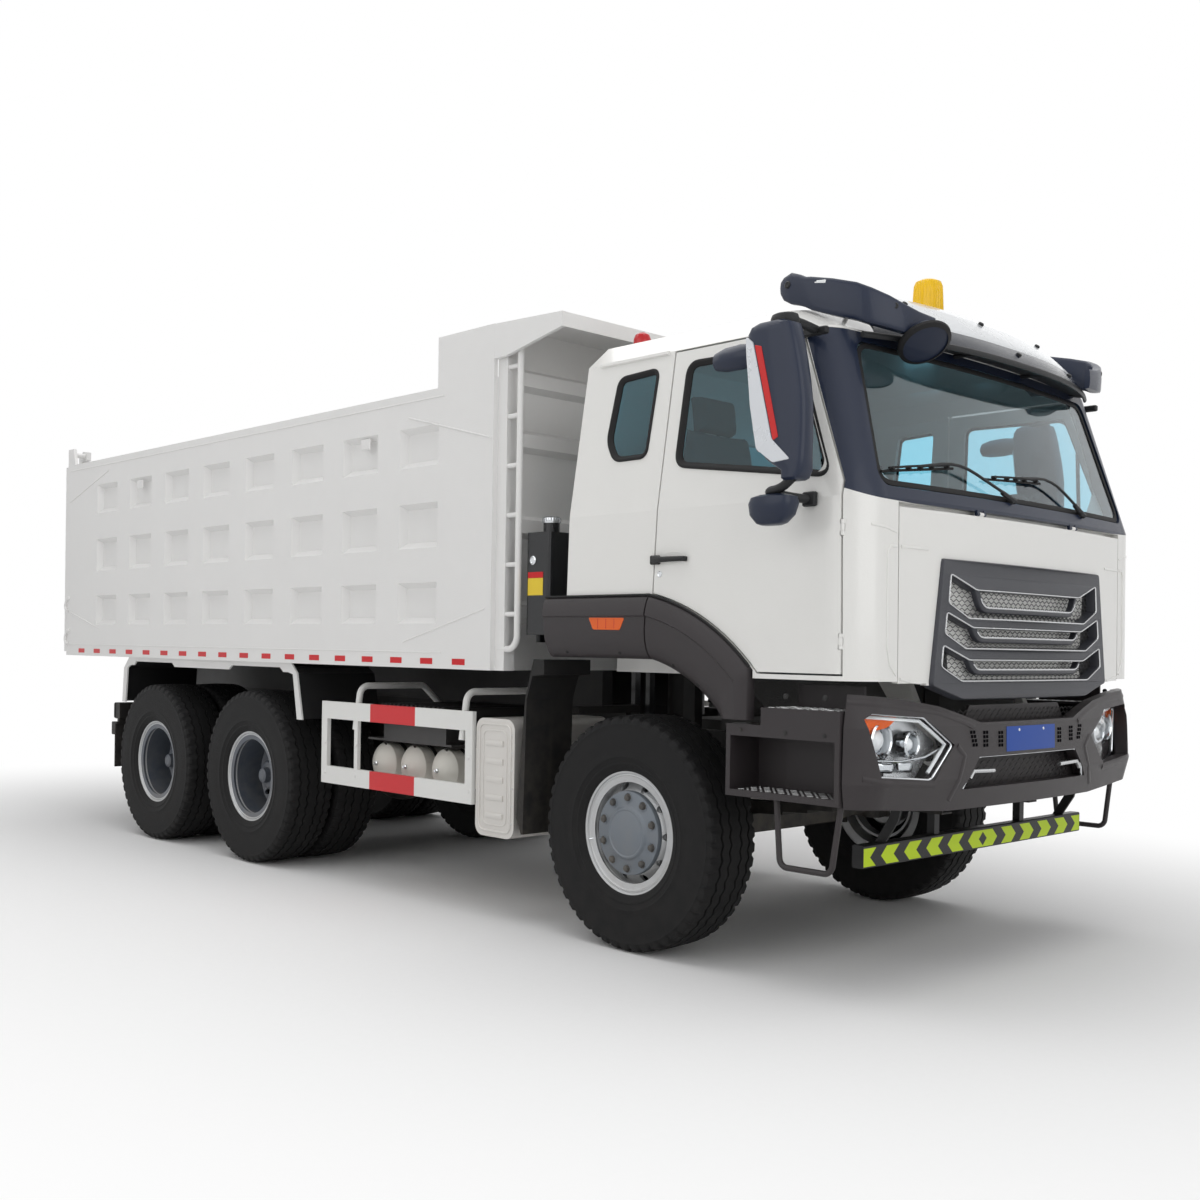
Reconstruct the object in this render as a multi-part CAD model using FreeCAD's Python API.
import FreeCAD, Part
import math
import os

# Six-wheel-station tipper truck: steered front axle, two driven rear axles with
# twin tyres, tilting sleeper cab, front-lift telescopic hoist and a steel body
# with a top-hung tailgate.  Millimetres, +X forwards, +Y left, +Z up.
# Every X below is measured from the front axle; place() moves it to the frame
# whose origin is on the ground under the middle of the truck.

# ---- driving dimensions: overall -------------------------------------------
FRONT_OVERHANG = 1450.0        # front axle to the foremost face
REAR_REACH = 6410.0            # front axle to the rearmost face
WHEELBASE = 3425.0             # front axle to first driven axle
BOGIE = 1350.0                 # between the two driven axles
HALF_WIDTH = 1248.0            # outer face of the body and of the arches

# ---- driving dimensions: wheels and axles ----------------------------------
TYRE_R = 562.5
TYRE_W = 315.0
RIM_SEAT_R = 254.0
RIM_FLANGE_R = 294.0
RIM_W = 216.0
FRONT_TYRE_Y = 1020.0          # middle of a front tyre
REAR_TYRE_Y = 918.0            # middle of a twin pair
TWIN_SPACING = 345.0
STUD_PCD = 335.0
STUD_COUNT = 10
KINGPIN_Y = 860.0
STEER_ARM = 210.0              # kingpin to tie-rod ball, backwards
RUN_FIT = 0.05                 # radial clearance of a shaft in its bore
SLIDE_FIT = 0.5                # radial clearance between hoist stages

# ---- driving dimensions: frame ---------------------------------------------
RAIL_Y = 425.0                 # outer face of a frame rail
RAIL_FLANGE = 80.0
RAIL_T = 8.0
RAIL_TOP = 1020.0
RAIL_H = 300.0
FRAME_FRONT = 1250.0
FRAME_REAR = -6020.0
SUBFRAME_H = 70.0

# ---- driving dimensions: cab -----------------------------------------------
CAB_REAR = -375.0
CAB_FLOOR_Z = 1400.0           # underside of the floor over the engine
CAB_FOOT_Z = 1320.0            # underside ahead of the wheel arch
CAB_BELT_Z = 2070.0
CAB_EAVES_Z = 2800.0
CAB_TOP_Z = 2950.0
CAB_FRONT = 1435.0
CAB_HALF = 1236.0
CAB_WALL = 42.0
DOOR_GAP = 8.0
CHIP_SHARE = 0.01          # a notch's offcuts below this share of the piece are dropped
FOLD_BACK = 430.0          # how far back the left mirrors lie when folded
FOLD_IN = 0.0              # and how far in
DOOR_PIVOT = (1260.0, 1217.0)  # upright hinge axis at the front edge of a door
DOOR_HINGE_ZS = (1480.0, 1940.0)
DOOR_PIN_R = 4.0
DOOR_BARREL_R = 9.0
DOOR_BARREL_HALF = 15.0
DOOR_LUG_LEN = 16.0
TILT_X = 1220.0                # cab tilt pivot
TILT_Z = 980.0
ARCH_IN_R = 847.0              # wheel arch, inner and outer edges about the axle
ARCH_OUT_R = 1138.0
ARCH_TIP_Z = 1141.0
ARCH_FRONT_X = 805.0
ARCH_FLAT_Z = 1390.0
ARCH_REAR_X = -505.0
SILL_Z = 1348.0

# ---- driving dimensions: tipping body --------------------------------------
BED_FRONT = -930.0
BED_REAR = -6340.0
BED_BOTTOM = 1312.0
BED_TOP = 2836.0
BED_FLOOR_TOP = 1400.0
BED_WALL = 90.0
HEAD_TOP = 3110.0              # raised front end of the body
HEAD_LEN = 480.0
CANOPY_FRONT = -410.0
HINGE_X = -5950.0              # body tipping pivot
HINGE_Z = 1100.0
HINGE_PIN_R = 35.0
GATE_T = 62.0
GATE_HINGE_X = -6300.0
GATE_HINGE_Z = 2925.0
GATE_PIN_R = 20.0
GATE_PIN_END = 8.0              # end of the pin, in from the outer face

# ---- driving dimensions: hoist ---------------------------------------------
HOIST_X = -690.0
HOIST_FOOT_Z = 950.0
HOIST_EYE_Z = 2700.0
HOIST_R = 105.0
HOIST_STAGE_WALL = 10.0
HOIST_PIN_R = 30.0
CRADLE_HALF = 108.0            # half length of the cradle between its cross plates
RECESS_HALF = 140.0            # half width of the body's recess for the leaning hoist
RECESS_TOP = 2330.0
RECESS_LEAN = math.radians(20.5)
RECESS_T = 6.0

SIDES = ((1, "left"), (-1, "right"))
FIRST_DRIVE_X = -WHEELBASE
SECOND_DRIVE_X = -WHEELBASE - BOGIE
ORIGIN_SHIFT = (REAR_REACH - FRONT_OVERHANG) / 2.0
AXLE_Z = TYRE_R

# fits, outlines and small drivers
SPINDLE_R = 45.0
HUB_BORE_R = SPINDLE_R + RUN_FIT
DRUM_R = 205.0
FRONT_SPRING = (-780.0, 820.0, 700.0)      # rear eye, front eye, height of the eyes
SPRING_LEAF = 15.0
TOW_BORE_R = 25.0
TOW_BORE_Z = 880.0
ENGINE_ROOM = 22.0             # between the engine and the cab underside
BUMPER_FRONT = FRONT_OVERHANG
BUMPER_HALF = 1240.0
BUMPER_REAR = 1284.0
LAMP_OUTLINE = [(1165.0, 1168.0), (1130.0, 1192.0), (815.0, 1170.0), (622.0, 1050.0),
                (765.0, 905.0), (1105.0, 932.0)]
ARCH_TOP_FLAT = AXLE_Z + math.sqrt(ARCH_OUT_R ** 2 - 207.0 ** 2)
ARCH_INNER_Y = 870.0
FLAP_HALF = 985.0
FLAP_LOW = 1243.0
FLAP_HIGH = 2036.0
FLAP_T = 28.0
FLAP_POCKET = 40.0
FLAP_GAP = 6.0
OIL_TANK_REAR = -735.0
OIL_TANK_LEN = 180.0
OIL_TANK_OUT = 1180.0          # centre plane to the outer face
OIL_TANK_WIDTH = 560.0
OIL_TANK_LOW = 1500.0
OIL_TANK_HIGH = 2020.0
FLAP_TOP_GAP = 20.0            # room for the top edge to swing past the cowl
LID_HINGE_X = 1412.0           # front lid hinge, in the gap above the lid
LID_HINGE_Z = FLAP_HIGH + 9.0
LID_PIN_R = 5.0
DOOR_WINDOW = [(346.0, 2272.0), (380.0, 2726.0), (985.0, 2712.0), (1190.0, 2160.0)]
REAR_WINDOW = [(-62.0, 2712.0), (182.0, 2724.0), (140.0, 2330.0), (-60.0, 2330.0),
               (-112.0, 2424.0)]
SCREEN_OUTLINE = [(-1088.0, 2118.0), (1088.0, 2118.0), (1000.0, 2748.0), (-1000.0, 2748.0)]
BACK_WINDOW = [(-420.0, 2150.0), (420.0, 2150.0), (420.0, 2560.0), (-420.0, 2560.0)]
COWL_LOW = FLAP_HIGH + FLAP_TOP_GAP
SURROUND_OUTLINE = [(1006.0 + DOOR_GAP, 2791.0), (1252.0 + DOOR_GAP, 2130.0),
                    (1252.0 + DOOR_GAP, CAB_BELT_Z + 30.0), (1380.0, COWL_LOW),
                    (1600.0, COWL_LOW), (1600.0, 2786.0)]
GRILLE_OUTLINE = [(-706.0, 1838.0), (706.0, 1838.0), (784.0, 1303.0), (560.0, FLAP_LOW),
                  (-560.0, FLAP_LOW), (-784.0, 1303.0)]
LID_HINGE_YS = (-420.0, 420.0)
POCKET_COLUMNS = 8
POCKET_PITCH = 575.0
POCKET_FIRST = -5780.0
POCKET_W = 355.0
POCKET_ROWS = ((1559.0, 1781.0), (1975.0, 2219.0), (2424.0, 2641.0))
POCKET_DEPTH = 42.0


# ---- small helpers ---------------------------------------------------------
def vec(x, y, z):
    return FreeCAD.Vector(x, y, z)


def box(x0, x1, y0, y1, z0, z1):
    corner = vec(min(x0, x1), min(y0, y1), min(z0, z1))
    return Part.makeBox(abs(x1 - x0), abs(y1 - y0), abs(z1 - z0), corner)


def rod(start, end, radius):
    a = vec(*start)
    span = vec(*end) - a
    return Part.makeCylinder(radius, span.Length, a, span)


def cross_rod(x, z, y0, y1, radius):
    return rod((x, min(y0, y1), z), (x, max(y0, y1), z), radius)


def pipe(start, end, outer, inner):
    return rod(start, end, outer).cut(rod(start, end, inner))


def fused(shapes):
    if len(shapes) == 1:
        return shapes[0]
    return shapes[0].fuse(shapes[1:]).removeSplitter()


def mirrored(shape):
    return shape.mirror(vec(0, 0, 0), vec(0, 1, 0))


def on_side(shape, side):
    """A shape drawn on the left (+Y) side, or its mirror on the right."""
    return shape if side > 0 else mirrored(shape)


def side_prism(points, y0, y1):
    """Closed outline in the XZ plane, extruded across the truck."""
    corners = [vec(x, min(y0, y1), z) for x, z in points]
    wire = Part.makePolygon(corners + [corners[0]])
    return Part.Face(wire).extrude(vec(0, abs(y1 - y0), 0))


def front_prism(points, x0, x1):
    """Closed outline in the YZ plane, extruded along the truck."""
    corners = [vec(min(x0, x1), y, z) for y, z in points]
    wire = Part.makePolygon(corners + [corners[0]])
    return Part.Face(wire).extrude(vec(abs(x1 - x0), 0, 0))


def rounded(shape, radius, axis):
    """Fillets the straight edges of a prism that run along one axis."""
    edges = []
    for edge in shape.Edges:
        if len(edge.Vertexes) != 2:
            continue
        span = edge.Vertexes[1].Point - edge.Vertexes[0].Point
        along = abs(getattr(span, axis))
        if along > 0.999 * span.Length and abs(along - edge.Length) < 0.01:
            edges.append(edge)
    return shape.makeFillet(radius, edges)


def turned(points, x, y, z):
    """Solid of revolution about the cross axis through (x, z).

    points are (offset along Y from y, radius); a triple of points marked by
    a leading "arc" string runs through its middle point."""
    edges = []
    here = None
    first = None
    for item in points:
        if item[0] == "arc":
            mid = vec(x, y + item[1][0], z + item[1][1])
            end = vec(x, y + item[2][0], z + item[2][1])
            edges.append(Part.Arc(here, mid, end).toShape())
            here = end
            continue
        point = vec(x, y + item[0], z + item[1])
        if here is None:
            first = point
        elif (point - here).Length > 1e-6:
            edges.append(Part.LineSegment(here, point).toShape())
        here = point
    if (first - here).Length > 1e-6:
        edges.append(Part.LineSegment(here, first).toShape())
    face = Part.Face(Part.Wire(edges))
    return face.revolve(vec(x, y, z), vec(0, 1, 0), 360)


def bent_tube(points, bend, radius):
    """Round bar along straight runs joined by tangent arcs."""
    here = vec(*points[0])
    start_dir = vec(*points[1]) - here
    edges = []
    for before, at, after in zip(points, points[1:], points[2:]):
        corner = vec(*at)
        back = (vec(*before) - corner).normalize()
        ahead = (vec(*after) - corner).normalize()
        half = back.getAngle(ahead) / 2.0
        reach = bend / math.tan(half)
        enter = corner + back * reach
        leave = corner + ahead * reach
        inward = (back + ahead).normalize()
        middle = corner + inward * (bend / math.sin(half) - bend)
        edges.append(Part.LineSegment(here, enter).toShape())
        edges.append(Part.Arc(enter, middle, leave).toShape())
        here = leave
    edges.append(Part.LineSegment(here, vec(*points[-1])).toShape())
    section = Part.Wire(Part.makeCircle(radius, vec(*points[0]), start_dir))
    return Part.Wire(edges).makePipeShell([section], True, False)


def bolt_ring(x, y0, y1, z, pcd, count, radius):
    """Round bars across the truck on a pitch circle."""
    bars = []
    for index in range(count):
        angle = 2.0 * math.pi * index / count
        dx = 0.5 * pcd * math.sin(angle)
        dz = 0.5 * pcd * math.cos(angle)
        bars.append(cross_rod(x + dx, z + dz, y0, y1, radius))
    return bars


def place(shape):
    moved = shape.copy()
    moved.translate(vec(ORIGIN_SHIFT, 0, 0))
    return moved


def export(node, shapes):
    solids = []
    for shape in shapes:
        solids.extend(place(shape).Solids)
    whole = solids[0] if len(solids) == 1 else Part.makeCompound(solids)
    whole.exportStep("parts/" + node + ".step")
    bounds = whole.optimalBoundingBox(True, False)
    print("%-22s %2d solids %6.1f l  x %.0f..%.0f y %.0f..%.0f z %.0f..%.0f %s" % (
        node, len(solids), whole.Volume / 1e6, bounds.XMin, bounds.XMax,
        bounds.YMin, bounds.YMax, bounds.ZMin, bounds.ZMax,
        "ok" if all(s.isValid() for s in solids) else "INVALID"))


# ---- wheels ----------------------------------------------------------------
def tyre(x, y):
    half = TYRE_W / 2.0
    bead = RIM_W / 2.0 - 3.0
    shoulder_r = TYRE_R - 8.0
    mid_r = (RIM_SEAT_R + TYRE_R) / 2.0
    skin = 24.0
    outline = [
        (-bead + 22.0, RIM_SEAT_R), (-bead, RIM_SEAT_R), (-bead - 4.0, RIM_SEAT_R + 46.0),
        ("arc", (-half, mid_r), (-half + 22.0, TYRE_R - 42.0)),
        ("arc", (-half + 30.0, TYRE_R - 16.0), (-half + 46.0, shoulder_r)),
        ("arc", (0.0, TYRE_R), (half - 46.0, shoulder_r)),
        ("arc", (half - 30.0, TYRE_R - 16.0), (half - 22.0, TYRE_R - 42.0)),
        ("arc", (half, mid_r), (bead + 4.0, RIM_SEAT_R + 46.0)),
        (bead, RIM_SEAT_R), (bead - 22.0, RIM_SEAT_R), (bead - 22.0, RIM_SEAT_R + 50.0),
        ("arc", (half - skin, mid_r), (half - 48.0, TYRE_R - 52.0)),
        ("arc", (0.0, TYRE_R - 34.0), (-half + 48.0, TYRE_R - 52.0)),
        ("arc", (-half + skin, mid_r), (-bead + 22.0, RIM_SEAT_R + 50.0)),
    ]
    return turned(outline, x, y, AXLE_Z)


def rim_barrel():
    """Half outline of the rim well, from the outer flange to the inner one."""
    half = RIM_W / 2.0
    sheet = 9.0
    lip = 12.0
    return [
        (-half - lip, RIM_FLANGE_R), (-half, RIM_FLANGE_R - 6.0), (-half + 2.0, RIM_SEAT_R),
        (half - 2.0, RIM_SEAT_R), (half, RIM_FLANGE_R - 6.0), (half + lip, RIM_FLANGE_R),
        (half + lip, RIM_FLANGE_R - 12.0), (half + lip - 6.0, RIM_SEAT_R - sheet - 4.0),
        (half - 8.0, RIM_SEAT_R - sheet), (-half + 8.0, RIM_SEAT_R - sheet),
        (-half - lip + 6.0, RIM_SEAT_R - sheet - 4.0), (-half - lip, RIM_FLANGE_R - 12.0),
    ]


def wheel_disc(x, y, face, bow, outward):
    """Pressed disc: face is the bolting face, bow its step to the rim."""
    sheet = 12.0
    edge_r = RIM_SEAT_R - 9.0
    outline = [
        (face, 0.5 * STUD_PCD - 52.0), (face, 0.5 * STUD_PCD + 34.0),
        (face - bow * 0.45, edge_r - 26.0), (face - bow, edge_r + 1.0),
        (face - bow - sheet, edge_r + 1.0), (face - bow * 0.5 - sheet, edge_r - 34.0),
        (face - sheet, 0.5 * STUD_PCD + 26.0), (face - sheet, 0.5 * STUD_PCD - 52.0),
    ]
    flipped = [(w * outward, r) for w, r in outline]
    disc = turned(flipped, x, y, AXLE_Z)
    hand_r = 20.0
    holes = []
    for index in range(STUD_COUNT):
        angle = 2.0 * math.pi * (index + 0.5) / STUD_COUNT
        reach = 0.5 * STUD_PCD + 54.0
        hx = x + reach * math.sin(angle)
        hz = AXLE_Z + reach * math.cos(angle)
        holes.append(cross_rod(hx, hz, y - 200.0, y + 200.0, hand_r))
    return disc.cut(holes)


def front_wheel(side):
    """Rim, disc, hub, brake drum, studs and nuts of one steered wheel."""
    y = FRONT_TYRE_Y
    face = 104.0
    barrel = turned(rim_barrel(), 0.0, y, AXLE_Z)
    disc = wheel_disc(0.0, y, face, 46.0, 1)
    flange_y = y + face - 12.0
    hub = cross_rod(0.0, AXLE_Z, y - 60.0, flange_y, 118.0)
    flange = cross_rod(0.0, AXLE_Z, flange_y - 16.0, flange_y, 0.5 * STUD_PCD + 30.0)
    cap_outline = [
        (face, 0.0), (face, 122.0), (face + 20.0, 118.0), (face + 32.0, 104.0),
        (face + 36.0, 78.0), (face + 30.0, 66.0), (face + 30.0, 0.0),
    ]
    cap = turned(cap_outline, 0.0, y, AXLE_Z)
    bridge = cross_rod(0.0, AXLE_Z, y + 20.0, y + face + 1.0, 118.0)
    drum = pipe((0.0, y - 78.0, AXLE_Z), (0.0, flange_y - 10.0, AXLE_Z), DRUM_R, DRUM_R - 14.0)
    web = cross_rod(0.0, AXLE_Z, flange_y - 22.0, flange_y - 8.0, DRUM_R)
    nuts = bolt_ring(0.0, y + face - 30.0, y + face + 26.0, AXLE_Z, STUD_PCD, STUD_COUNT, 15.0)
    whole = fused([barrel, disc, hub, flange, bridge, cap, drum, web] + nuts)
    bore = cross_rod(0.0, AXLE_Z, y - 200.0, y + 66.0, HUB_BORE_R)
    return on_side(whole.cut(bore), side)


def twin_wheel(x, side):
    """Two rims back to back on one planetary hub, with its studs and nuts."""
    pieces = []
    face = 6.0
    mid = REAR_TYRE_Y
    outer_y = mid + TWIN_SPACING / 2.0
    inner_y = mid - TWIN_SPACING / 2.0
    pieces.append(turned(rim_barrel(), x, outer_y, AXLE_Z))
    pieces.append(turned(rim_barrel(), x, inner_y, AXLE_Z))
    reach = TWIN_SPACING / 2.0 - face
    pieces.append(wheel_disc(x, outer_y, reach, 64.0, -1))
    pieces.append(wheel_disc(x, inner_y, reach, 64.0, 1))
    seat = mid - face
    pieces.append(cross_rod(x, AXLE_Z, inner_y - 60.0, seat + 12.0, 116.0))
    pieces.append(cross_rod(x, AXLE_Z, seat - 1.0, seat + 13.0, 0.5 * STUD_PCD + 30.0))
    nose = [
        (-4.0, 0.0), (-4.0, 118.0), (82.0, 116.0), (90.0, 104.0), (150.0, 98.0),
        (164.0, 84.0), (170.0, 52.0), (206.0, 46.0), (214.0, 30.0), (214.0, 0.0),
    ]
    pieces.append(turned(nose, x, seat + 12.0, AXLE_Z))
    pieces.append(pipe((x, inner_y - 90.0, AXLE_Z), (x, seat - 10.0, AXLE_Z),
                       DRUM_R, DRUM_R - 14.0))
    pieces.append(cross_rod(x, AXLE_Z, seat - 26.0, seat - 8.0, DRUM_R))
    pieces += bolt_ring(x, seat - 30.0, seat + 48.0, AXLE_Z, STUD_PCD, STUD_COUNT, 15.0)
    pieces += bolt_ring(x, seat + 150.0, seat + 178.0, AXLE_Z, 152.0, STUD_COUNT, 9.0)
    whole = fused(pieces)
    bore = cross_rod(x, AXLE_Z, mid - 500.0, seat - 40.0, HUB_BORE_R + 15.0)
    return on_side(whole.cut(bore), side)


# ---- axles, springs and steering -------------------------------------------
def front_axle():
    """Forged beam with a dropped middle and kingpin bosses."""
    middle = box(-48.0, 48.0, -430.0, 430.0, 500.0, 590.0)
    pieces = [middle]
    for side, _ in SIDES:
        gooseneck = front_prism([(420.0, 500.0), (420.0, 590.0), (KINGPIN_Y - 60.0, 640.0),
                                 (KINGPIN_Y - 60.0, 540.0)], -45.0, 45.0)
        boss = rod((0.0, KINGPIN_Y, 535.0), (0.0, KINGPIN_Y, 645.0), 62.0)
        pieces.append(on_side(fused([gooseneck, boss]), side))
    beam = fused(pieces)
    for side, _ in SIDES:
        pin = rod((0.0, side * KINGPIN_Y, 400.0), (0.0, side * KINGPIN_Y, 800.0),
                  24.0 + RUN_FIT)
        beam = beam.cut(pin)
    return beam


def knuckle(side):
    """Steering knuckle: fork, kingpin, stub axle, steering arm."""
    top = rod((0.0, KINGPIN_Y, 650.0), (0.0, KINGPIN_Y, 690.0), 50.0)
    bottom = rod((0.0, KINGPIN_Y, 485.0), (0.0, KINGPIN_Y, 530.0), 50.0)
    pin = rod((0.0, KINGPIN_Y, 490.0), (0.0, KINGPIN_Y, 685.0), 24.0)
    cheek_y = KINGPIN_Y + 68.0
    cheek = box(-55.0, 55.0, cheek_y, cheek_y + 22.0, 485.0, 690.0)
    arms = [box(-40.0, 40.0, KINGPIN_Y + 20.0, cheek_y + 1.0, 485.0, 530.0),
            box(-40.0, 40.0, KINGPIN_Y + 20.0, cheek_y + 1.0, 650.0, 690.0)]
    stub = cross_rod(0.0, AXLE_Z, cheek_y + 10.0, FRONT_TYRE_Y + 60.0, SPINDLE_R)
    arm = box(-STEER_ARM - 26.0, -30.0, KINGPIN_Y - 24.0, KINGPIN_Y + 24.0, 486.0, 510.0)
    eye = rod((-STEER_ARM, KINGPIN_Y, 486.0), (-STEER_ARM, KINGPIN_Y, 510.0), 30.0)
    whole = fused([top, bottom, pin, cheek, stub, arm, eye] + arms)
    ball = rod((-STEER_ARM, KINGPIN_Y, 480.0), (-STEER_ARM, KINGPIN_Y, 520.0),
               12.0 + RUN_FIT)
    return on_side(whole.cut(ball), side)


def tie_rod():
    """Track rod under the two steering arms, with a ball pin at each end."""
    bar = cross_rod(-STEER_ARM, 458.0, -KINGPIN_Y, KINGPIN_Y, 18.0)
    pins = []
    for side, _ in SIDES:
        y = side * KINGPIN_Y
        pins.append(rod((-STEER_ARM, y, 434.0), (-STEER_ARM, y, 485.7), 26.0))
    right = rod((-STEER_ARM, -KINGPIN_Y, 450.0), (-STEER_ARM, -KINGPIN_Y, 514.0), 12.0)
    return fused([bar, right] + pins)


def drive_axle(x):
    """Banjo housing, differential bowl and wheel spindles."""
    tube = cross_rod(x, AXLE_Z, -520.0, 520.0, 88.0)
    bowl = Part.makeSphere(235.0, vec(x, 0, AXLE_Z)).common(
        box(x - 235.0, x + 235.0, -170.0, 170.0, AXLE_Z - 235.0, AXLE_Z + 235.0))
    nose = rod((x, 0.0, AXLE_Z + 60.0), (x + 330.0, 0.0, AXLE_Z + 60.0), 92.0)
    seats = []
    ends = []
    for side, _ in SIDES:
        seats.append(box(x - 70.0, x + 70.0, side * 375.0, side * 485.0,
                         AXLE_Z - 80.0, AXLE_Z + 110.0))
        ends.append(cross_rod(x, AXLE_Z, side * 500.0, side * 690.0, SPINDLE_R + 15.0))
        ends.append(cross_rod(x, AXLE_Z, side * 500.0, side * 560.0, 150.0))
    return fused([tube, bowl, nose] + seats + ends)


def spring_stack(x0, x1, z_end, z_mid, y, leaves, outer):
    """Leaf spring as one pack: each leaf shorter than the one above it."""
    middle = (x0 + x1) / 2.0
    half = (x1 - x0) / 2.0
    sheet = SPRING_LEAF
    pieces = []
    for index in range(leaves):
        share = 1.0 - 0.75 * index / leaves
        low = z_mid - index * sheet
        rise = (z_end - z_mid) * share
        span = half * share
        points = [
            (middle - span, low + rise), (middle, low), (middle + span, low + rise),
            (middle + span, low + rise + sheet + 0.5), (middle, low + sheet + 0.5),
            (middle - span, low + rise + sheet + 0.5),
        ]
        pieces.append(side_prism(points, y - outer / 2.0, y + outer / 2.0))
    return fused(pieces)


def springs():
    solids = []
    for side, _ in SIDES:
        x_rear, x_front, z_eye = FRONT_SPRING
        front = spring_stack(x_rear, x_front, z_eye, 660.0, 0.0, 4, 90.0)
        front.translate(vec(0, side * 400.0, 0))
        clamp = box(-60.0, 60.0, side * 350.0, side * 450.0, 589.0, 640.0)
        solids.append(fused([front, clamp]))
        bogie_x = (FIRST_DRIVE_X + SECOND_DRIVE_X) / 2.0
        low = AXLE_Z + 100.0
        rear = spring_stack(FIRST_DRIVE_X + 20.0, SECOND_DRIVE_X - 20.0, low, low, 0.0, 1, 90.0)
        for index in range(1, 7):
            share = 1.0 - 0.7 * index / 7.0
            half = 0.5 * (BOGIE + 40.0) * share
            z = low + index * 15.0
            rear = rear.fuse(box(bogie_x - half, bogie_x + half, -45.0, 45.0, z, z + 15.5))
        trunnion = box(bogie_x - 90.0, bogie_x + 90.0, -52.0, 52.0, low + 60.0, RAIL_TOP - RAIL_H)
        rear = fused([rear, trunnion])
        rear.translate(vec(0, side * 430.0, 0))
        solids.append(rear)
    return solids


# ---- frame and what it carries ---------------------------------------------
def frame():
    """Two channel rails with cross members, subframe strips and pivots."""
    solids = []
    bottom = RAIL_TOP - RAIL_H
    inner = RAIL_Y - RAIL_FLANGE
    crosses = [1150.0, 60.0, -1050.0, -2100.0, -2850.0, -4100.0, -5350.0]
    for side, _ in SIDES:
        web = box(FRAME_REAR, FRAME_FRONT, side * (RAIL_Y - RAIL_T), side * RAIL_Y,
                  bottom, RAIL_TOP)
        low = box(FRAME_REAR, FRAME_FRONT, side * inner, side * RAIL_Y, bottom, bottom + RAIL_T)
        high = box(FRAME_REAR, FRAME_FRONT, side * inner, side * RAIL_Y,
                   RAIL_TOP - RAIL_T, RAIL_TOP)
        strip = box(HINGE_X + 120.0, BED_FRONT + 180.0, side * inner, side * RAIL_Y,
                    RAIL_TOP, RAIL_TOP + SUBFRAME_H)
        block = side_prism([(HINGE_X - 60.0, RAIL_TOP), (HINGE_X - 60.0, HINGE_Z + 20.0),
                            (HINGE_X - 25.0, HINGE_Z + 62.0), (HINGE_X + 25.0, HINGE_Z + 62.0),
                            (HINGE_X + 60.0, HINGE_Z + 20.0), (HINGE_X + 60.0, RAIL_TOP)],
                           side * inner, side * RAIL_Y)
        bore = cross_rod(HINGE_X, HINGE_Z, side * 300.0, side * 500.0, HINGE_PIN_R + RUN_FIT)
        pivot = side_prism([(TILT_X - 90.0, RAIL_TOP - 90.0), (TILT_X - 40.0, TILT_Z + 45.0),
                            (TILT_X + 30.0, TILT_Z + 45.0), (TILT_X + 45.0, TILT_Z - 80.0)],
                           side * (RAIL_Y + 0.5), side * (RAIL_Y + 26.0))
        tilt_pin = cross_rod(TILT_X, TILT_Z, side * (RAIL_Y - 2.0), side * (RAIL_Y + 80.0), 22.0)
        rail = fused([web, low, high, strip, block.cut(bore)])
        foot = box(TILT_X - 90.0, TILT_X + 30.0, side * RAIL_Y, side * (RAIL_Y + 26.0),
                   RAIL_TOP - 200.0, RAIL_TOP - 60.0)
        rest = box(-330.0, -250.0, side * (RAIL_Y - 70.0), side * (RAIL_Y - 10.0),
                   RAIL_TOP - 1.0, CAB_FLOOR_Z - 0.5)
        hangers = []
        for x in FRONT_SPRING[:2]:
            hangers.append(box(x - 26.0, x + 26.0, side * (inner + 15.0), side * RAIL_Y,
                               FRONT_SPRING[2] + SPRING_LEAF + 0.6, bottom + 1.0))
        solids.append(fused([rail, foot, pivot, tilt_pin, rest] + hangers))
    for x in crosses:
        span = RAIL_Y - RAIL_T
        plate = box(x - 4.0, x + 4.0, -span, span, bottom + RAIL_T, RAIL_TOP - RAIL_T)
        lips = [box(x - 60.0, x + 4.0, -span, span, z, z + 7.0)
                for z in (bottom + RAIL_T, RAIL_TOP - RAIL_T - 7.0)]
        window = cross_window(x, bottom)
        solids.append(fused([plate] + lips).cut(window))
    rear_tie = box(FRAME_REAR, FRAME_REAR + 10.0, -RAIL_Y + RAIL_T, RAIL_Y - RAIL_T,
                   bottom + RAIL_T, RAIL_TOP - RAIL_T)
    solids.append(rear_tie.cut(rod((FRAME_REAR - 5.0, 0, TOW_BORE_Z),
                                   (FRAME_REAR + 20.0, 0, TOW_BORE_Z), TOW_BORE_R)))
    for x in (HOIST_X - CRADLE_HALF - 12.0, HOIST_X + CRADLE_HALF):
        solids.append(box(x, x + 12.0, -RAIL_Y + RAIL_T, RAIL_Y - RAIL_T,
                          bottom + RAIL_T, HOIST_FOOT_Z - 2.0))
    return solids


def cross_window(x, bottom):
    """Hand and pipe opening in a cross member."""
    return rod((x - 30.0, 0.0, bottom + RAIL_H / 2.0), (x + 30.0, 0.0, bottom + RAIL_H / 2.0), 70.0)


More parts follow.
